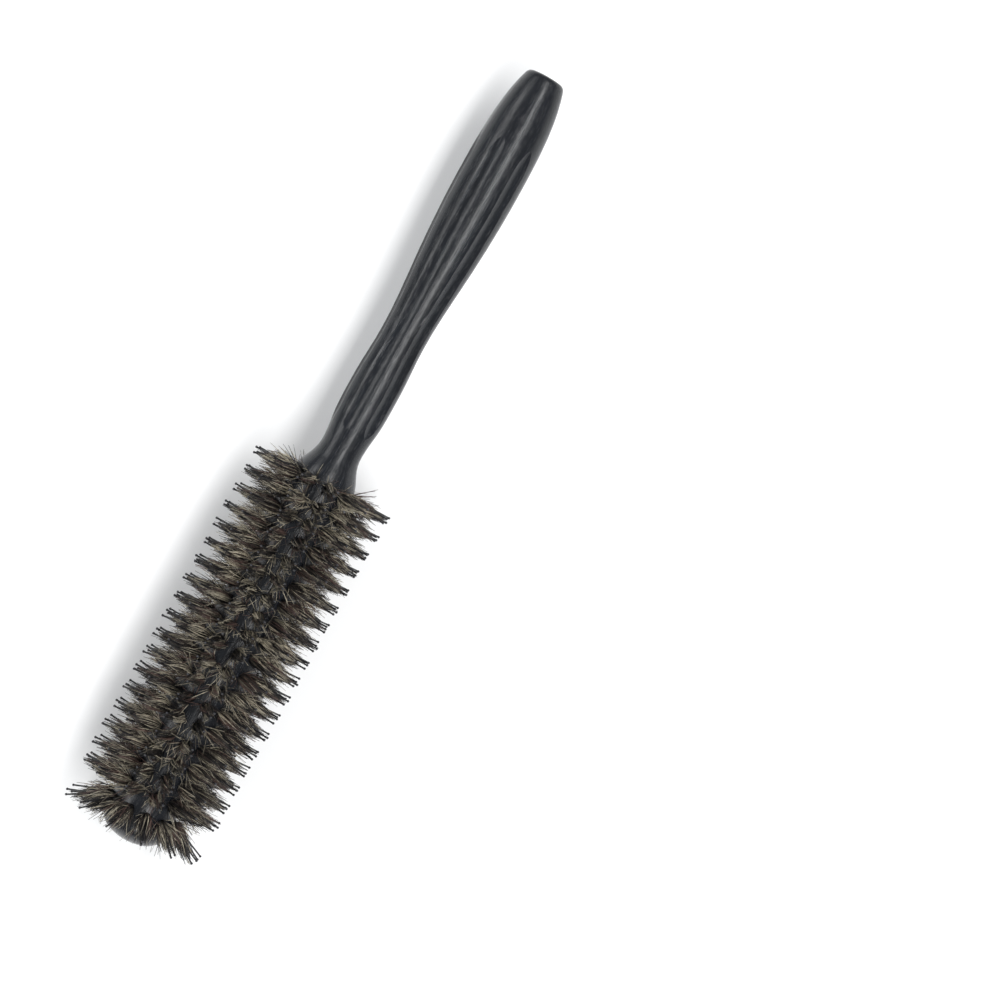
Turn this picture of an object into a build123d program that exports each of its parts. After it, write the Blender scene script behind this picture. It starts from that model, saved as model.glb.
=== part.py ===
"""Round barrel hair brush: a turned wooden body with rows of stapled bristle tufts.

The brush lies level on its pins. +X runs from the butt of the handle to the nose of
the barrel, +Z is up, and the origin is on the surface that the brush lies on, under the
middle of its length. All sizes are in millimetres.
"""

from build123d import *
from math import cos, radians, sin
import os

os.makedirs("parts", exist_ok=True)

# ---- Turned body: stations are measured from the butt face along the axis ----------------
LENGTH = 250.0
BUTT_FACE_R = 4.6
BUTT_EDGE = (1.7, 6.3)  # (station, radius) where the rounded butt edge meets the grip
PALM_SWELL = (34.0, 9.35)
GRIP_TAPER = (64.0, 8.05)  # on the way down from the palm swell to the waist
WAIST = (85.0, 6.8)
FINGER_SWELL = (101.0, 7.4)
FINGER_TAPER = (113.0, 7.1)  # on the way down from the finger swell to the neck
NECK = (121.5, 6.3)
SHOULDER = (129.5, 8.9)
CORE_START = 137.0
CORE_R = 10.0
NOSE_DEPTH = 6.0

# ---- Flutes milled along the grip ---------------------------------------------------------
FLUTES = 6
FIRST_FLUTE_ANGLE = 14.0
FLUTE_TOOL_R = 4.5
FLUTE_DEPTH = 0.85
FLUTE_SPAN = (21.5, 116.0)  # stations where the tool enters and leaves the wood
FLUTE_RUN_IN = (7.0, 4.5)  # lengths over which it sinks to its depth and rises again
FLUTE_CLEARANCE = 0.6  # between the tool and the wood at both ends of its path

# ---- Bristle field ------------------------------------------------------------------------
ROWS = 12
ROW_PITCH = 360 / ROWS
FIRST_ROW_ANGLE = ROW_PITCH / 2  # the brush rests on two rows, so a bare strip faces up
FIRST_TUFT = 133.5  # station of the first tuft of a row
LAST_TUFT = 240.0  # station of the slanted tuft beside the nose
TUFTS_PER_ROW = 19
LAST_TUFT_SLANT = 25.0  # degrees towards the nose
LAST_TUFT_LIFT = 0.8  # lifts the slanted tuft's flare clear of the wood

HOLE_R = 1.0
HOLE_DEPTH = 4.0
ROOT_R = 0.98  # packed root of a tuft, inside its hole
BOAR_TIP_R = 18.2  # distance of the trimmed boar ends from the brush's axis
BOAR_BULGE_R = 2.3
BOAR_TOP_R = 1.3

PIN_R = 0.25
PIN_BALL_R = 0.38
PIN_TIP_R = 22.2  # distance of the ball centres from the brush's axis
PIN_FOLD_HALF = 0.46  # half the width of the fold under the staple
PIN_FOLD_BEND = 0.40
PIN_TIP_HALF = 0.85  # half the distance between a folded pin's two tips
FOLD_CLEARANCE = 0.3  # from the hole's bottom to the middle of the folded pin

STAPLE_THICKNESS = 0.3
STAPLE_WIDTH = 1.96
STAPLE_HEIGHT = 1.5
STAPLE_BASE = 0.62  # from the hole's bottom to the staple's lower edge

# ---- Derived places ----------------------------------------------------------------------
AXIS_HEIGHT = PIN_TIP_R * cos(radians(FIRST_ROW_ANGLE)) + PIN_BALL_R
HOLE_BOTTOM_R = CORE_R - HOLE_DEPTH
TUFT_PITCH = (LAST_TUFT - FIRST_TUFT) / (TUFTS_PER_ROW - 1)
BUTT_X = -LENGTH / 2

brush_axis = Axis((BUTT_X, 0, AXIS_HEIGHT), (1, 0, 0))
# Side view plane: local x is the station along the brush, local y the height over its axis.
side_plane = Plane(origin=(BUTT_X, 0, AXIS_HEIGHT), x_dir=(1, 0, 0), z_dir=(0, -1, 0))


def tuft_plane(station, slant, lift):
    """Plane at a hole's bottom in the top row: z runs out of the hole, x along the brush."""
    out_of_wood = (sin(radians(slant)), 0, cos(radians(slant)))
    along_brush = (cos(radians(slant)), 0, -sin(radians(slant)))
    depth = HOLE_DEPTH - lift
    bottom = (
        BUTT_X + station - depth * out_of_wood[0],
        0,
        AXIS_HEIGHT + CORE_R - depth * out_of_wood[2],
    )
    return Plane(origin=bottom, x_dir=along_brush, z_dir=out_of_wood)


# One plane for each tuft of the row at the top; the other rows are turned about the axis.
top_row_planes = [
    tuft_plane(FIRST_TUFT + k * TUFT_PITCH, 0, 0) for k in range(TUFTS_PER_ROW - 1)
] + [tuft_plane(LAST_TUFT, LAST_TUFT_SLANT, LAST_TUFT_LIFT)]


def row_of(piece, row):
    """Copies of one tuft's piece along a row, as a compound of separate solids."""
    angle = FIRST_ROW_ANGLE + row * ROW_PITCH
    top_row = [plane.location * piece for plane in top_row_planes]
    return Compound(children=[solid.rotate(brush_axis, angle) for solid in top_row])


# ---- Hole for one tuft, drilled out past the surface ----------------------------------------
with BuildPart() as tuft_hole:
    with BuildSketch():
        Circle(HOLE_R)
    extrude(amount=HOLE_DEPTH + 2)

# ---- Turned profile of handle, collar and barrel -----------------------------------------------
with BuildSketch(side_plane) as profile:
    with BuildLine():
        Line((0, 0), (0, BUTT_FACE_R))
        Spline((0, BUTT_FACE_R), BUTT_EDGE, tangents=[(0, 1), (1, 0.32)])
        palm = Spline(BUTT_EDGE, PALM_SWELL, tangents=[(1, 0.32), (1, 0)])
        grip = Spline(PALM_SWELL, GRIP_TAPER, WAIST, tangents=[(1, 0), (1, 0)])
        finger = Spline(WAIST, FINGER_SWELL, tangents=[(1, 0), (1, 0)])
        taper = Spline(FINGER_SWELL, FINGER_TAPER, NECK, tangents=[(1, 0), (1, 0)])
        Spline(NECK, SHOULDER, (CORE_START, CORE_R), tangents=[(1, 0), (1, 0)])
        Line((CORE_START, CORE_R), (LENGTH - NOSE_DEPTH, CORE_R))
        EllipticalCenterArc(
            (LENGTH - NOSE_DEPTH, 0), NOSE_DEPTH, CORE_R, start_angle=0, arc_size=90
        )
        Line((0, 0), (LENGTH, 0))
    make_face()


def grip_radius(station):
    """Turned radius of the grip at a station, before the flutes are milled."""
    edge = next(e for e in (palm, grip, finger, taper) if station <= (e @ 1).X + 0.001)
    low, high = 0.0, 1.0
    for _ in range(40):
        middle = (low + high) / 2
        low, high = (middle, high) if (edge @ middle).X < station else (low, middle)
    return (edge @ low).Y


# ---- Path of the round-nosed tool that mills a flute ---------------------------------------------
flute_depths = [
    (FLUTE_SPAN[0] - FLUTE_RUN_IN[0], -FLUTE_CLEARANCE),
    (FLUTE_SPAN[0], 0),
    (FLUTE_SPAN[0] + FLUTE_RUN_IN[0], FLUTE_DEPTH),
    *((station, FLUTE_DEPTH) for station, _ in (PALM_SWELL, GRIP_TAPER, WAIST, FINGER_SWELL)),
    (FLUTE_SPAN[1] - 2 * FLUTE_RUN_IN[1], FLUTE_DEPTH),
    (FLUTE_SPAN[1] - FLUTE_RUN_IN[1], FLUTE_DEPTH),
    (FLUTE_SPAN[1], 0),
    (FLUTE_SPAN[1] + FLUTE_RUN_IN[1], -FLUTE_CLEARANCE),
]

with BuildPart() as flute_cutter:
    with BuildLine(side_plane) as flute_path:
        Spline(*[(s, grip_radius(s) - depth + FLUTE_TOOL_R) for s, depth in flute_depths])
    with BuildSketch(Plane(origin=flute_path.line @ 0, z_dir=flute_path.line % 0)):
        Circle(FLUTE_TOOL_R)
    sweep(path=flute_path.line)

# ---- Turned body: handle, collar and barrel in one piece of wood -----------------------------
with BuildPart() as turned_body:
    add(profile.sketch)
    revolve(axis=brush_axis)
    for flute in range(FLUTES):
        angle = FIRST_FLUTE_ANGLE + flute * 360 / FLUTES
        add(flute_cutter.part.rotate(brush_axis, angle), mode=Mode.SUBTRACT)
    for row in range(ROWS):
        add(row_of(tuft_hole.part, row), mode=Mode.SUBTRACT)

turned_body.part.label = "turned_body"
export_step(turned_body.part, "parts/turned_body.step")

# ---- One folded nylon pin: two legs with ball tips, joined by a bend under the staple ---------
pin_tip_z = PIN_TIP_R - HOLE_BOTTOM_R
with BuildPart() as nylon_pin:
    with BuildLine(Plane.XZ) as pin_path:
        FilletPolyline(
            (-PIN_TIP_HALF, pin_tip_z),
            (-PIN_FOLD_HALF, FOLD_CLEARANCE),
            (PIN_FOLD_HALF, FOLD_CLEARANCE),
            (PIN_TIP_HALF, pin_tip_z),
            radius=PIN_FOLD_BEND,
        )
    with BuildSketch(Plane(origin=pin_path.line @ 0, z_dir=pin_path.line % 0)):
        Circle(PIN_R)
    sweep(path=pin_path.line)
    with Locations((-PIN_TIP_HALF, 0, pin_tip_z), (PIN_TIP_HALF, 0, pin_tip_z)):
        Sphere(PIN_BALL_R)

# ---- One flat wire staple that holds the folded tuft down --------------------------------------
with BuildPart() as staple:
    with BuildSketch(Plane.XY.offset(STAPLE_BASE)):
        Rectangle(STAPLE_THICKNESS, STAPLE_WIDTH)
    extrude(amount=STAPLE_HEIGHT)

# ---- One boar tuft: packed root, flared bundle, trimmed end ------------------------------------
boar_top_z = BOAR_TIP_R - HOLE_BOTTOM_R
with BuildPart() as boar_tuft:
    with BuildSketch(Plane.XZ):
        with BuildLine():
            Polyline((0, boar_top_z), (0, 0), (ROOT_R, 0), (ROOT_R, HOLE_DEPTH))
            Spline(
                (ROOT_R, HOLE_DEPTH),
                (BOAR_BULGE_R, (HOLE_DEPTH + boar_top_z) / 2),
                (BOAR_TOP_R, boar_top_z),
                tangents=[(1, 2), (-1, 3)],
            )
            Line((BOAR_TOP_R, boar_top_z), (0, boar_top_z))
        make_face()
    revolve(axis=Axis.Z)
    add(nylon_pin.part, mode=Mode.SUBTRACT)
    add(staple.part, mode=Mode.SUBTRACT)

# ---- Rows: every row's tufts, pins and staples are groups of separate solids --------------------
for row in range(ROWS):
    for name, piece in (
        ("boar_row", boar_tuft.part),
        ("pin_row", nylon_pin.part),
        ("staple_row", staple.part),
    ):
        group = row_of(piece, row)
        group.label = f"{name}_{row + 1:02d}"
        export_step(group, f"parts/{group.label}.step")
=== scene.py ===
"""Looks of a round barrel brush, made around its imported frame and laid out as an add-on.

The brush lies level on its pins. +X runs from the butt of the handle to the nose of the
barrel and +Z is up. Sizes in this file are in metres.
"""

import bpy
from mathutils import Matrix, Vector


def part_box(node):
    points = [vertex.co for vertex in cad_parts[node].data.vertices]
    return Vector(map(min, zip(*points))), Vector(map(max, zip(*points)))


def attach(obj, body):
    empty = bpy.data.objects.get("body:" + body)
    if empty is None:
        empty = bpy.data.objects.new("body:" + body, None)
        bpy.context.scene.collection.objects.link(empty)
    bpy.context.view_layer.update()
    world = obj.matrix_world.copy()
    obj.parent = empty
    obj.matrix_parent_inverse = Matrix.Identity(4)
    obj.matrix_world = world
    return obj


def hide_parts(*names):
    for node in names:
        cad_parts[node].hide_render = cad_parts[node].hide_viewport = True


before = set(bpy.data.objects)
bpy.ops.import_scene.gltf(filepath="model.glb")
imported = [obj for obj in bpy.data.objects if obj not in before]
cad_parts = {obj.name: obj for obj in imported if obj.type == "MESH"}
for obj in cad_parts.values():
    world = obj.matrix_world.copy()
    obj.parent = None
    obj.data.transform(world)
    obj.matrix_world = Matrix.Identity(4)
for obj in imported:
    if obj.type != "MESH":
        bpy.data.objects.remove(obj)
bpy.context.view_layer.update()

from math import atan, cos, pi, radians, sin

import bpy
import numpy as np
from bpy.props import FloatProperty, FloatVectorProperty, IntProperty, PointerProperty

bl_info = {
    "name": "Round Barrel Brush",
    "version": (1, 0, 0),
    "blender": (4, 5, 0),
    "location": "3D View > Sidebar > Brush",
    "description": "Wood, bristles, pins and staples of a round barrel hair brush",
    "category": "Object",
}

MM = 0.001
AXIS_HEIGHT = sum(corner.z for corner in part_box("turned_body")) / 2
ROWS = sum(name.startswith("boar_row_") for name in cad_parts)

# A tuft's hole, measured from its bottom along its own direction out of the wood.
STAPLE_MIDDLE = 1.37 * MM
WOOD_SURFACE = 4.0 * MM
PIN_TIP = 16.2 * MM
STAPLE_GAP = 2 * MM  # along the brush, less than there is between two holes' staples

END_GRAIN = 6 * MM  # nearer to the axis than this, the wood's grain is seen end-on

# Boar bristles: the rings of their tubes, the corners of a ring, and how thick they are.
BOAR_RINGS = 7
BOAR_CORNERS = 4
BOAR_TAPER = (1, 0.9, 0.45)  # at the root, halfway and at the end
UNEVEN_THICKNESS = (0.7, 1.3)

# Their lengths outside the wood. The two ranges are shares of the whole length.
MIDDLE_LENGTH = 11.6 * MM
OUTSIDE_SHORTER = 3.9 * MM
LONGEST = 12.4 * MM  # keeps the ends in the lowest rows off the floor
UNEVEN_LENGTH = 0.8 * MM
BROKEN_LENGTH = (0.35, 0.8)
WILD_LENGTH = (0.55, 0.8)

# Shares of bristles that are broken short, stray a little, or stand away wildly.
BROKEN_SHARE = 0.16
STRAY_SHARE = 0.12
WILD_SHARE = 0.19

# How far the outermost bristles are from the tuft's middle: in the hole, where they flare,
# and at their ends. A bristle's own reach is a share of it, from 0 in the middle to 1.
ROOT_REACH = 0.86 * MM
ROOT_DEPTH = 1.2 * MM  # below the wood's surface
FLARE_REACH = 3.1 * MM
FLARE_PLACE = 0.32  # along the length
END_REACH = 0.8 * MM
STRAY_REACH = (2.2 * MM, 4.6 * MM)
WILD_REACH = (4 * MM, 8 * MM)
UNEVEN_REACH = 0.10
UNEVEN_TURN = 0.35  # about the tuft's middle, in radians

# How locks and single bristles sway, and how the ends lean. The last tuft fans out.
LOCK_SWAY = 0.42 * MM
BRISTLE_SWAY = 0.15 * MM
END_SWAY = 1.15  # times the sway at the flare
LEAN_TO_NOSE = 0.5 * MM
NOSE_FAN = 1.5 * MM
NOSE_SPREAD = 1.2 * MM

# Tones: dark up to 0.36, brown up to 0.58, blond up to the palest, and reddish above that.
MIDDLE_TONE = 0.16  # of a bristle in the tuft's middle
OUTSIDE_PALER = 0.52
LOCK_TONE = 0.24
BRISTLE_TONE = 0.10
PALEST = 0.87
RED_SHARE = 0.14
RED_TONES = (0.9, 1)

# The two legs of a folded pin. A half is half the distance between them.
PIN_RINGS = 9
PIN_CORNERS = 10
PIN_ROOT_DEPTH = 1.5 * MM
PIN_ROOT_HALF = 0.5 * MM
PIN_END_HALF = 0.75 * MM
PIN_LEAN_TO_NOSE = 0.15 * MM
PIN_BEND = 0.25 * MM
UNEVEN_PIN = (0.2 * MM, 0.3 * MM, 0.6 * MM)  # along the brush, around it and in length
BALL_RINGS = 8
BALL_END = 0.97 * pi  # the ball's last ring, as an angle from where the pin enters

FLOOR_HALF = 4.0
NEAREST_SEEN = 0.01
# Each soft light's distance from the brush, tilt from overhead towards +Y, and size.
SOFT_BOX = (0.9, radians(21), (2.0, 0.26))
SIDE_FILL = (1.2, radians(-52), (2.0, 0.45))
ROOM_COLOUR = (0.94, 0.97, 1, 1)


# ---- Frames of the tufts ------------------------------------------------------------------
def unit(vectors):
    """Vectors scaled to length 1 along their last axis."""
    return vectors / np.linalg.norm(vectors, axis=-1, keepdims=True)


def tuft_frames(row):
    """Hole bottoms of a row and, for each, its directions along, around and out of the brush.

    A staple is thinnest along the brush and next thinnest out of the wood, and it stands in
    the middle of its hole, so the row's staples say where its tufts are.
    """
    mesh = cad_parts[f"staple_row_{row:02d}"].data
    corners = np.array([v.co for v in mesh.vertices])
    corners = corners[np.argsort(corners[:, 0])]
    gaps = np.flatnonzero(np.diff(corners[:, 0]) > STAPLE_GAP) + 1
    bottoms, axes = [], []
    for staple in np.split(corners, gaps):
        staple = np.unique(np.round(staple, 7), axis=0)
        middle = staple.mean(0)
        edges = staple[1:] - staple[0]
        edges = unit(edges[np.argsort(np.linalg.norm(edges, axis=1))])
        along = edges[0] * np.sign(edges[0][0])
        out = edges[1] * np.sign(edges[1] @ (middle - [middle[0], 0, AXIS_HEIGHT]))
        bottoms.append(middle - STAPLE_MIDDLE * out)
        axes.append([along, np.cross(out, along), out])
    return np.array(bottoms), np.array(axes)


# ---- Meshes of tubes ------------------------------------------------------------------------
def bent(start, control, end, rings):
    """Points along curved strands that leave start towards control and finish at end."""
    t = np.linspace(0, 1, rings)[None, :, None]
    return (
        (1 - t) ** 2 * start[:, None] + 2 * t * (1 - t) * control[:, None] + t**2 * end[:, None]
    )


def tube_mesh(name, paths, radii, sides, values):
    """One mesh of closed tubes that follow paths, with a value per tube for each attribute.

    The attribute "along" runs from 0 to 1 over each tube's length.
    """
    count, rings = radii.shape
    heading = unit(np.gradient(paths, axis=1))
    overall = unit(paths[:, -1] - paths[:, 0])
    helper = np.eye(3)[np.argmin(np.abs(overall), axis=1)]
    across = np.cross(overall, helper)[:, None]
    across = unit(across - (across * heading).sum(2, keepdims=True) * heading)
    upward = np.cross(heading, across)
    turn = 2 * pi * np.arange(sides) / sides
    ring = (
        across[:, :, None] * np.cos(turn)[:, None] + upward[:, :, None] * np.sin(turn)[:, None]
    )
    points = paths[:, :, None] + radii[:, :, None, None] * ring

    first = (np.arange(count)[:, None] * rings + np.arange(rings)) * sides
    step, after = np.arange(sides), (np.arange(sides) + 1) % sides
    low, high = first[:, :-1, None], first[:, 1:, None]
    quads = np.stack([low + step, low + after, high + after, high + step], axis=-1)
    caps = np.concatenate([first[:, :1] + step[::-1], first[:, -1:] + step])
    corners = np.concatenate([quads.ravel(), caps.ravel()])
    sizes = np.repeat([4, sides], [quads.size // 4, len(caps)])

    mesh = bpy.data.meshes.new(name)
    mesh.vertices.add(points.size // 3)
    mesh.vertices.foreach_set("co", points.ravel())
    mesh.loops.add(len(corners))
    mesh.loops.foreach_set("vertex_index", corners)
    mesh.polygons.add(len(sizes))
    mesh.polygons.foreach_set("loop_start", np.concatenate([[0], np.cumsum(sizes)[:-1]]))
    values = {label: value[:, None, None] for label, value in values.items()}
    for label, value in {"along": np.linspace(0, 1, rings)[:, None], **values}.items():
        layer = mesh.attributes.new(label, "FLOAT", "POINT")
        value = np.broadcast_to(value, points.shape[:3]).astype(np.float32)
        layer.data.foreach_set("value", value.ravel())
    mesh.update(calc_edges=True)
    mesh.shade_smooth()
    return mesh


def show(name, mesh, material, replaced):
    """Adds a piece to the scene, riding on the brush in place of its CAD node."""
    mesh.materials.append(material)
    piece = bpy.data.objects.new(name, mesh)
    bpy.context.scene.collection.objects.link(piece)
    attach(piece, "root")
    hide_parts(replaced)


# ---- Materials --------------------------------------------------------------------------------
class Finish:
    """A node material under construction, with its Principled shader in place."""

    def __init__(self, name):
        self.material = bpy.data.materials.new(name)
        self.material.use_nodes = True
        self.tree = self.material.node_tree
        self.shader = self.tree.nodes["Principled BSDF"]

    def link(self, source, target):
        self.tree.links.new(source, target)

    def set(self, **values):
        for label, value in values.items():
            self.shader.inputs[label.replace("_", " ")].default_value = value

    def attribute(self, name):
        node = self.tree.nodes.new("ShaderNodeAttribute")
        node.attribute_name = name
        return node.outputs["Fac"]

    def noise(self, stretch, detail=3.0):
        """Noise in the brush's own coordinates, with `stretch` cells per metre along X, Y, Z."""
        place = self.tree.nodes.new("ShaderNodeTexCoord")
        mapping = self.tree.nodes.new("ShaderNodeMapping")
        mapping.inputs["Scale"].default_value = stretch
        texture = self.tree.nodes.new("ShaderNodeTexNoise")
        texture.inputs["Scale"].default_value = 1.0
        texture.inputs["Detail"].default_value = detail
        texture.inputs["Roughness"].default_value = 0.55
        self.link(place.outputs["Object"], mapping.inputs["Vector"])
        self.link(mapping.outputs["Vector"], texture.inputs["Vector"])
        return texture.outputs["Fac"]

    def maths(self, kind, operation, *values):
        """Output of a maths node whose inputs are links or fixed values."""
        node = self.tree.nodes.new(kind)
        node.operation = operation
        for socket, value in zip(node.inputs, values):
            if isinstance(value, bpy.types.NodeSocket):
                self.link(value, socket)
            else:
                socket.default_value = value
        return node.outputs["Value" if operation in ("LENGTH", "MAXIMUM") else "Vector"]

    def grain(self, along, around, detail):
        """Noise that follows the turned surface, in cells per metre along and per radian."""
        vector = "ShaderNodeVectorMath"
        place = self.tree.nodes.new("ShaderNodeTexCoord").outputs["Object"]
        across = self.maths(vector, "MULTIPLY_ADD", place, (0, 1, 1), (0, 0, -AXIS_HEIGHT))
        radius = self.maths(vector, "LENGTH", across)
        radius = self.maths("ShaderNodeMath", "MAXIMUM", radius, END_GRAIN)
        turned = self.maths(vector, "DIVIDE", across, radius)
        run = self.maths(vector, "MULTIPLY", place, (along, 0, 0))
        texture = self.tree.nodes.new("ShaderNodeTexNoise")
        texture.inputs["Scale"].default_value = 1.0
        texture.inputs["Detail"].default_value = detail
        streaks = self.maths(vector, "MULTIPLY_ADD", turned, (around, around, around), run)
        self.link(streaks, texture.inputs["Vector"])
        return texture.outputs["Fac"]

    def ramp(self, source, stops):
        """Colours, or greys given as one number, at positions of the source value."""
        node = self.tree.nodes.new("ShaderNodeValToRGB")
        elements = node.color_ramp.elements
        elements.remove(elements[1])
        for k, (position, colour) in enumerate(stops):
            element = elements[0] if k == 0 else elements.new(position)
            element.position = position
            if not hasattr(colour, "__len__"):
                colour = (colour, colour, colour)
            element.color = (*colour[:3], 1)
        self.link(source, node.inputs["Fac"])
        return node.outputs["Color"]

    def multiply(self, first, second):
        """Product of two colours or greys."""
        node = self.tree.nodes.new("ShaderNodeMix")
        node.data_type, node.blend_type = "RGBA", "MULTIPLY"
        node.inputs["Factor"].default_value = 1.0
        self.link(first, node.inputs["A"])
        self.link(second, node.inputs["B"])
        return node.outputs["Result"]

    def bump(self, height, depth, strength=1.0, under=None):
        node = self.tree.nodes.new("ShaderNodeBump")
        node.inputs["Distance"].default_value = depth
        node.inputs["Strength"].default_value = strength
        self.link(height, node.inputs["Height"])
        if under is not None:
            self.link(under, node.inputs["Normal"])
        self.link(node.outputs["Normal"], self.shader.inputs["Normal"])
        return node.outputs["Normal"]


def lacquered_wood(looks):
    """Black stain under a satin lacquer, with the wood's long pores showing through."""
    wood = Finish("lacquered_wood")
    stain = np.array(looks.stain_colour)
    streaks = wood.grain(32, 13, detail=4)
    clouds = wood.noise((45, 160, 160), detail=2)
    pores = wood.grain(240, 40, detail=2)
    base = wood.ramp(streaks, [(0.3, stain * 0.7), (0.55, stain), (0.75, stain * 1.5)])
    depth = wood.ramp(clouds, [(0.3, 0.7), (0.7, 1.0)])
    wood.link(wood.multiply(base, depth), wood.shader.inputs["Base Color"])
    satin = looks.lacquer_roughness
    patches = wood.ramp(clouds, [(0.25, satin * 1.15), (0.75, satin)])
    rough = wood.multiply(wood.ramp(pores, [(0.3, 1.0), (0.5, 0.86)]), patches)
    wood.link(rough, wood.shader.inputs["Roughness"])
    grain = wood.bump(wood.ramp(streaks, [(0.3, 0.0), (0.7, 1.0)]), 0.010 * MM)
    wood.set(Specular_IOR_Level=0.38)
    wood.bump(wood.ramp(pores, [(0.28, 0.0), (0.45, 1.0)]), 0.02 * MM, under=grain)
    return wood.material


def boar_bristle(looks):
    """Boar hair of mixed tones, with painted shade darkening each bristle at its root, in the hole
    and just outside it, and darker again at the tip.
    """
    hair = Finish("boar_bristle")
    dark, brown = np.array(looks.dark_hair), np.array(looks.brown_hair)
    blond, red = np.array(looks.blond_hair), np.array(looks.red_hair)
    tones = hair.ramp(
        hair.attribute("tone"),
        [
            (0.0, dark * 0.6), (0.36, dark), (0.46, brown * 0.7), (0.58, brown * 1.3),
            (0.68, blond * 0.75), (0.86, blond * 1.5), (0.9, red * 0.7), (1.0, red * 1.5),
        ],
    )
    # Painted shade: each bristle is darkened from its root to about 0.42 of its length, where the
    # tuft crowds together, and its end is darker too.
    length = hair.ramp(
        hair.attribute("along"), [(0.12, 0.12), (0.42, 1.0), (0.72, 1.0), (1.0, 0.5)]
    )
    mottle = hair.ramp(hair.noise((900, 900, 900), detail=2), [(0.3, 0.55), (0.7, 1.25)])
    hair.link(hair.multiply(hair.multiply(tones, length), mottle), hair.shader.inputs["Base Color"])
    gloss = hair.ramp(hair.noise((2500, 2500, 2500), detail=1), [(0.3, 0.34), (0.7, 0.52)])
    hair.link(gloss, hair.shader.inputs["Roughness"])
    hair.bump(hair.noise((6000, 6000, 6000), detail=1), 0.01 * MM, 0.5)
    return hair.material


def nylon(looks):
    """Black extruded nylon with faint draw marks and slightly paler ends."""
    pin = Finish("nylon_pin")
    tint = np.array(looks.pin_colour)
    marks = pin.noise((1800, 1800, 1800), detail=2)
    drawn = pin.ramp(marks, [(0.3, tint * 0.7), (0.7, tint * 1.3)])
    scuffs = pin.ramp(pin.attribute("along"), [(0.55, 0.8), (0.8, 1.5)])
    pin.link(pin.multiply(drawn, scuffs), pin.shader.inputs["Base Color"])
    pin.link(pin.ramp(marks, [(0.3, 0.3), (0.7, 0.42)]), pin.shader.inputs["Roughness"])
    pin.bump(marks, 0.01 * MM, 0.4)
    return pin.material


def staple_steel(looks):
    """Flat steel wire, cut and brushed along its length."""
    steel = Finish("staple_wire")
    tint = np.array(looks.steel_colour)
    brushed = steel.noise((9000, 1500, 1500), detail=2)
    steel.link(
        steel.ramp(brushed, [(0.3, tint * 0.7), (0.7, tint)]), steel.shader.inputs["Base Color"]
    )
    steel.link(steel.ramp(brushed, [(0.3, 0.3), (0.7, 0.45)]), steel.shader.inputs["Roughness"])
    steel.set(Metallic=1.0)
    return steel.material


# ---- Sizes and colours ---------------------------------------------------------------------------
class BrushLooks(bpy.types.PropertyGroup):
    """Sizes and colours of the brush's surfaces and bristles."""

    stain_colour: FloatVectorProperty(
        name="Stain", description="Black stain of the wood", subtype="COLOR",
        default=(0.0080, 0.0095, 0.0130), min=0, max=1,
    )
    lacquer_roughness: FloatProperty(
        name="Lacquer roughness", description="Dullness of the satin lacquer",
        default=0.25, min=0.05, max=1, subtype="FACTOR",
    )
    dark_hair: FloatVectorProperty(
        name="Dark hair", description="Colour of the darkest bristles", subtype="COLOR",
        default=(0.0110, 0.0095, 0.0095), min=0, max=1,
    )
    brown_hair: FloatVectorProperty(
        name="Brown hair", description="Colour of the brown bristles", subtype="COLOR",
        default=(0.068, 0.056, 0.047), min=0, max=1,
    )
    blond_hair: FloatVectorProperty(
        name="Blond hair", description="Colour of the palest bristles", subtype="COLOR",
        default=(0.49, 0.44, 0.335), min=0, max=1,
    )
    red_hair: FloatVectorProperty(
        name="Red hair", description="Colour of the reddish bristles", subtype="COLOR",
        default=(0.125, 0.080, 0.068), min=0, max=1,
    )
    pin_colour: FloatVectorProperty(
        name="Pins", description="Colour of the nylon pins", subtype="COLOR",
        default=(0.010, 0.010, 0.012), min=0, max=1,
    )
    steel_colour: FloatVectorProperty(
        name="Staples", description="Colour of the staples' steel", subtype="COLOR",
        default=(0.55, 0.54, 0.52), min=0, max=1,
    )
    strands: IntProperty(
        name="Bristles", description="Boar bristles in one tuft", default=150, min=10, max=200,
    )
    locks: IntProperty(
        name="Locks", description="Locks that one tuft's bristles gather in",
        default=26, min=1, max=60,
    )
    strand_radius: FloatProperty(
        name="Bristle radius", description="Radius of a boar bristle at the wood",
        default=0.105 * MM, min=0.02 * MM, max=0.3 * MM, unit="LENGTH", precision=6,
    )
    pin_radius: FloatProperty(
        name="Pin radius", description="Radius of a nylon pin",
        default=0.25 * MM, min=0.1 * MM, max=0.6 * MM, unit="LENGTH", precision=6,
    )
    ball_radius: FloatProperty(
        name="Ball radius", description="Radius of the ball on a pin's tip",
        default=0.38 * MM, min=0.1 * MM, max=1 * MM, unit="LENGTH", precision=6,
    )
    seed: IntProperty(
        name="Seed", description="Start of the random draws", default=11, min=0, max=9999,
    )


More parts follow.
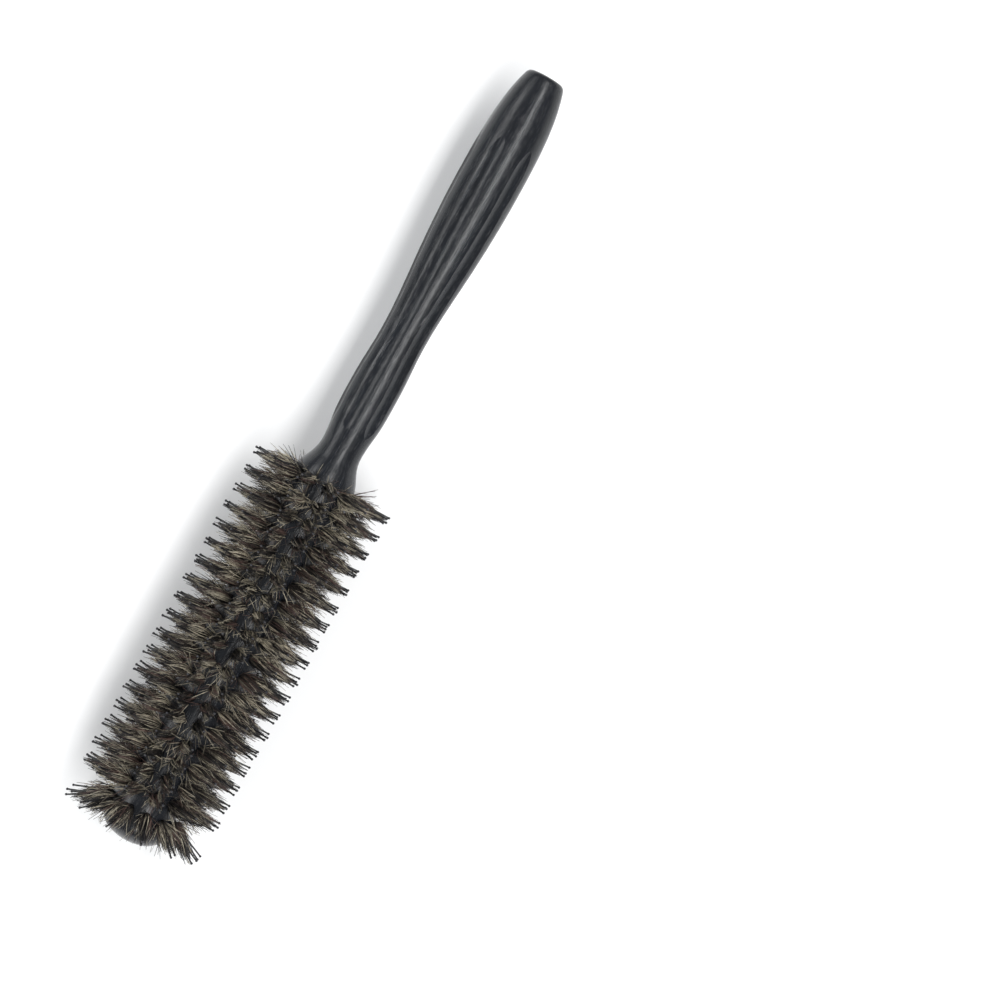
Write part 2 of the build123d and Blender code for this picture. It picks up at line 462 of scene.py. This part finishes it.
class StageLooks(bpy.types.PropertyGroup):
    """Camera, lights and floor."""

    camera_height: FloatProperty(
        name="Camera height", description="Height of the camera over the brush's axis",
        default=0.9, min=0.1, max=3, unit="LENGTH",
    )
    frame_width: FloatProperty(
        name="Frame width", description="Width of the view at the height of the axis",
        default=0.28806, min=0.05, max=3, unit="LENGTH",
    )
    camera_place: FloatVectorProperty(
        name="Camera place", description="Where the camera stands over the floor",
        size=2, default=(-0.01234, 0.04737), unit="LENGTH",
    )
    camera_turn: FloatProperty(
        name="Camera turn", description="Turn of the camera about the vertical",
        default=radians(118.95), subtype="ANGLE",
    )
    floor_colour: FloatVectorProperty(
        name="Floor", description="Colour of the floor", subtype="COLOR",
        default=(0.90, 0.90, 0.90), min=0, max=1,
    )
    surround_strength: FloatProperty(
        name="Surround", description="Brightness of the pale room", default=0.39, min=0, max=10,
    )
    box_power: FloatProperty(
        name="Soft box", description="Power of the overhead soft box", default=12.5, min=0,
        max=500, subtype="POWER",
    )
    fill_power: FloatProperty(
        name="Side fill", description="Power of the low soft light beside the brush",
        default=10.0, min=0, max=500, subtype="POWER",
    )


# ---- Operators ----------------------------------------------------------------------------------
class BARREL_BRUSH_OT_stage(bpy.types.Operator):
    """Adds the pale floor, the soft lights and the camera over the brush"""

    bl_idname = "barrel_brush.stage"
    bl_label = "Stage"

    def execute(self, context):
        looks = context.scene.brush_stage
        self.add_floor(context, looks)
        self.add_lights(context, looks)
        self.add_camera(context, looks)
        context.scene.view_settings.view_transform = "Standard"
        return {"FINISHED"}

    def add_floor(self, context, looks):
        mesh = bpy.data.meshes.new("floor")
        corners = [(-1, -1), (1, -1), (1, 1), (-1, 1)]
        mesh.from_pydata([(x * FLOOR_HALF, y * FLOOR_HALF, 0) for x, y in corners], [], [range(4)])
        paper = Finish("floor_paper")
        tint = np.array(looks.floor_colour)
        paper.link(
            paper.ramp(paper.noise((6, 6, 6)), [(0.3, tint * 0.985), (0.7, tint)]),
            paper.shader.inputs["Base Color"],
        )
        paper.set(Roughness=0.9)
        mesh.materials.append(paper.material)
        floor = bpy.data.objects.new("floor", mesh)
        context.scene.collection.objects.link(floor)

    def add_lights(self, context, looks):
        world = bpy.data.worlds.new("pale_room")
        world.use_nodes = True
        background = world.node_tree.nodes["Background"]
        background.inputs["Color"].default_value = ROOM_COLOUR
        background.inputs["Strength"].default_value = looks.surround_strength
        context.scene.world = world
        self.add_box(context, "soft_box", *SOFT_BOX, looks.box_power)
        self.add_box(context, "side_fill", *SIDE_FILL, looks.fill_power)

    def add_box(self, context, name, distance, tilt, size, power):
        """A rectangular soft light aimed at the brush, tilted from overhead towards +Y."""
        light = bpy.data.lights.new(name, "AREA")
        light.shape, light.size, light.size_y = "RECTANGLE", *size
        light.energy = power
        box = bpy.data.objects.new(name, light)
        box.location = (0, distance * sin(tilt), distance * cos(tilt))
        box.rotation_euler = (-tilt, 0, 0)
        context.scene.collection.objects.link(box)

    def add_camera(self, context, looks):
        data = bpy.data.cameras.new("camera")
        data.angle = 2 * atan(looks.frame_width / 2 / looks.camera_height)
        data.clip_start = NEAREST_SEEN
        camera = bpy.data.objects.new("camera", data)
        camera.location = (*looks.camera_place, AXIS_HEIGHT + looks.camera_height)
        camera.rotation_euler = (0, 0, looks.camera_turn)
        context.scene.collection.objects.link(camera)
        context.scene.camera = camera


class BARREL_BRUSH_OT_body(bpy.types.Operator):
    """Gives the turned body its black stain and satin lacquer"""

    bl_idname = "barrel_brush.body"
    bl_label = "Turned body"

    def execute(self, context):
        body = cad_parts["turned_body"]
        body.material_slots[0].material = lacquered_wood(context.scene.brush_looks)
        return {"FINISHED"}


class BARREL_BRUSH_OT_boar(bpy.types.Operator):
    """Fills each row's holes with boar bristles that flare and draw together at their ends"""

    bl_idname = "barrel_brush.boar"
    bl_label = "Boar rows"

    def execute(self, context):
        looks = context.scene.brush_looks
        material = boar_bristle(looks)
        for row in range(1, ROWS + 1):
            rng = np.random.default_rng(looks.seed * 1000 + row)
            bottoms, axes = tuft_frames(row)
            paths, tones, thickness = [], [], []
            last = len(bottoms) - 1
            for k, (bottom, axis) in enumerate(zip(bottoms, axes)):
                strands, tone, width = self.tuft(rng, looks, at_nose=k == last)
                paths.append(bottom + strands @ axis)
                tones.append(tone)
                thickness.append(width)
            taper = np.interp(np.linspace(0, 1, BOAR_RINGS), [0, 0.5, 1], BOAR_TAPER)
            radii = looks.strand_radius * np.concatenate(thickness)[:, None] * taper
            values = {"tone": np.concatenate(tones)}
            name = f"boar_bristles_{row:02d}"
            mesh = tube_mesh(name, np.concatenate(paths), radii, BOAR_CORNERS, values)
            show(name, mesh, material, f"boar_row_{row:02d}")
        return {"FINISHED"}

    def tuft(self, rng, looks, at_nose):
        """Paths, tones and thicknesses of one tuft's bristles, in its hole's frame."""
        count, locks = looks.strands, looks.locks
        lock = rng.integers(locks, size=count)
        turn = rng.uniform(0, 2 * pi, locks)[lock] + rng.normal(0, UNEVEN_TURN, count)
        reach = np.sqrt(rng.uniform(0, 1, locks))[lock] + rng.normal(0, UNEVEN_REACH, count)
        reach = np.clip(reach, 0, 1)
        side = np.stack([np.cos(turn), np.sin(turn)], axis=1)
        sway = rng.normal(0, LOCK_SWAY, (locks, 2))[lock]
        sway += rng.normal(0, BRISTLE_SWAY, (count, 2))

        # Middle bristles are the longest. Some are broken short, and some stand away.
        length = MIDDLE_LENGTH - OUTSIDE_SHORTER * reach + rng.normal(0, UNEVEN_LENGTH, count)
        broken = rng.random(count) < BROKEN_SHARE
        length[broken] *= rng.uniform(*BROKEN_LENGTH, broken.sum())
        length = np.minimum(length, LONGEST)
        spread = np.full(count, END_REACH)
        stray = rng.random(count) < STRAY_SHARE
        spread[stray] = rng.uniform(*STRAY_REACH, stray.sum())
        wild = rng.random(count) < WILD_SHARE
        spread[wild] = rng.uniform(*WILD_REACH, wild.sum())
        length[wild] *= rng.uniform(*WILD_LENGTH, wild.sum())

        start = np.empty((count, 3))
        start[:, :2] = ROOT_REACH * reach[:, None] * side
        start[:, 2] = WOOD_SURFACE - ROOT_DEPTH
        control = np.empty((count, 3))
        control[:, :2] = FLARE_REACH * reach[:, None] * side + sway
        control[:, 2] = WOOD_SURFACE + FLARE_PLACE * length
        end = np.empty((count, 3))
        end[:, :2] = (spread * reach)[:, None] * side + END_SWAY * sway
        end[:, 2] = WOOD_SURFACE + length
        end[:, 0] += LEAN_TO_NOSE
        if at_nose:
            fan = rng.uniform(0, 1, count)
            end[:, 0] += fan * NOSE_FAN
            end[:, 1] += rng.normal(0, NOSE_SPREAD, count)
            end[:, 2] -= fan * NOSE_FAN

        tone = rng.normal(MIDDLE_TONE, LOCK_TONE, locks)[lock] + OUTSIDE_PALER * reach
        tone = np.clip(tone + rng.normal(0, BRISTLE_TONE, count), 0, PALEST)
        red = (rng.random(locks) < RED_SHARE)[lock]
        tone[red] = rng.uniform(*RED_TONES, red.sum())
        thickness = rng.uniform(*UNEVEN_THICKNESS, count)
        return bent(start, control, end, BOAR_RINGS), tone, thickness


class BARREL_BRUSH_OT_pins(bpy.types.Operator):
    """Stands the folded nylon pins in the tufts, with a ball on each tip"""

    bl_idname = "barrel_brush.pins"
    bl_label = "Pin rows"

    def execute(self, context):
        looks = context.scene.brush_looks
        material = nylon(looks)
        for row in range(1, ROWS + 1):
            rng = np.random.default_rng(looks.seed * 2000 + row)
            bottoms, axes = tuft_frames(row)
            paths = np.concatenate(
                [bottom + self.legs(rng) @ axis for bottom, axis in zip(bottoms, axes)]
            )
            # The lowest balls rest on the floor.
            paths[:, -1, 2] = np.maximum(paths[:, -1, 2], looks.ball_radius)
            paths, radii = self.with_balls(paths, looks)
            name = f"nylon_pins_{row:02d}"
            mesh = tube_mesh(name, paths, radii, PIN_CORNERS, {})
            show(name, mesh, material, f"pin_row_{row:02d}")
        return {"FINISHED"}

    def legs(self, rng):
        """Centre lines of a folded pin's two legs, from inside the hole to the balls."""
        side = np.array([-1.0, 1.0])
        root_height = np.full(2, WOOD_SURFACE - PIN_ROOT_DEPTH)
        start = np.column_stack([PIN_ROOT_HALF * side, [0, 0], root_height])
        along, around, shorter = UNEVEN_PIN
        end = np.column_stack(
            [
                PIN_END_HALF * side + rng.normal(0, along, 2) + PIN_LEAN_TO_NOSE,
                rng.normal(0, around, 2),
                PIN_TIP - rng.uniform(0, shorter, 2),
            ]
        )
        control = (start + end) / 2 + rng.normal(0, PIN_BEND, (2, 3))
        return bent(start, control, end, PIN_RINGS)

    def with_balls(self, paths, looks):
        """The same lines with rings added through each ball, and every ring's radius."""
        heading = unit(paths[:, -1] - paths[:, -2])[:, None]
        neck = np.arcsin(looks.pin_radius / looks.ball_radius)
        polar = np.linspace(neck, BALL_END, BALL_RINGS)
        rings = paths[:, -1:] - heading * (looks.ball_radius * np.cos(polar))[:, None]
        shaft = np.full((len(paths), paths.shape[1] - 1), looks.pin_radius)
        ball = np.broadcast_to(looks.ball_radius * np.sin(polar), (len(paths), len(polar)))
        return (
            np.concatenate([paths[:, :-1], rings], axis=1), np.concatenate([shaft, ball], axis=1)
        )


class BARREL_BRUSH_OT_staples(bpy.types.Operator):
    """Gives the staples in the holes their brushed steel"""

    bl_idname = "barrel_brush.staples"
    bl_label = "Staple rows"

    def execute(self, context):
        material = staple_steel(context.scene.brush_looks)
        for row in range(1, ROWS + 1):
            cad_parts[f"staple_row_{row:02d}"].material_slots[0].material = material
        return {"FINISHED"}


OPERATORS = (
    BARREL_BRUSH_OT_stage,
    BARREL_BRUSH_OT_body,
    BARREL_BRUSH_OT_boar,
    BARREL_BRUSH_OT_pins,
    BARREL_BRUSH_OT_staples,
)


class BARREL_BRUSH_PT_sidebar(bpy.types.Panel):
    """Lists the pieces of the brush with their sizes and colours"""

    bl_label = "Round Barrel Brush"
    bl_idname = "BARREL_BRUSH_PT_sidebar"
    bl_space_type = "VIEW_3D"
    bl_region_type = "UI"
    bl_category = "Brush"

    def draw(self, context):
        for group in (context.scene.brush_looks, context.scene.brush_stage):
            column = self.layout.column(align=True)
            for label in type(group).__annotations__:
                column.prop(group, label)
        for operator in OPERATORS:
            self.layout.operator(operator.bl_idname)


CLASSES = (BrushLooks, StageLooks, *OPERATORS, BARREL_BRUSH_PT_sidebar)


def register():
    """Registers the add-on's classes and puts its settings on the scene."""
    for cls in CLASSES:
        bpy.utils.register_class(cls)
    bpy.types.Scene.brush_looks = PointerProperty(type=BrushLooks)
    bpy.types.Scene.brush_stage = PointerProperty(type=StageLooks)


def unregister():
    """Takes the settings off the scene and unregisters the classes."""
    del bpy.types.Scene.brush_stage
    del bpy.types.Scene.brush_looks
    for cls in reversed(CLASSES):
        bpy.utils.unregister_class(cls)


def main():
    """Makes the stage and every piece in order."""
    register()
    bpy.ops.barrel_brush.stage()
    bpy.ops.barrel_brush.body()
    bpy.ops.barrel_brush.boar()
    bpy.ops.barrel_brush.pins()
    bpy.ops.barrel_brush.staples()


if __name__ == "__main__":
    main()
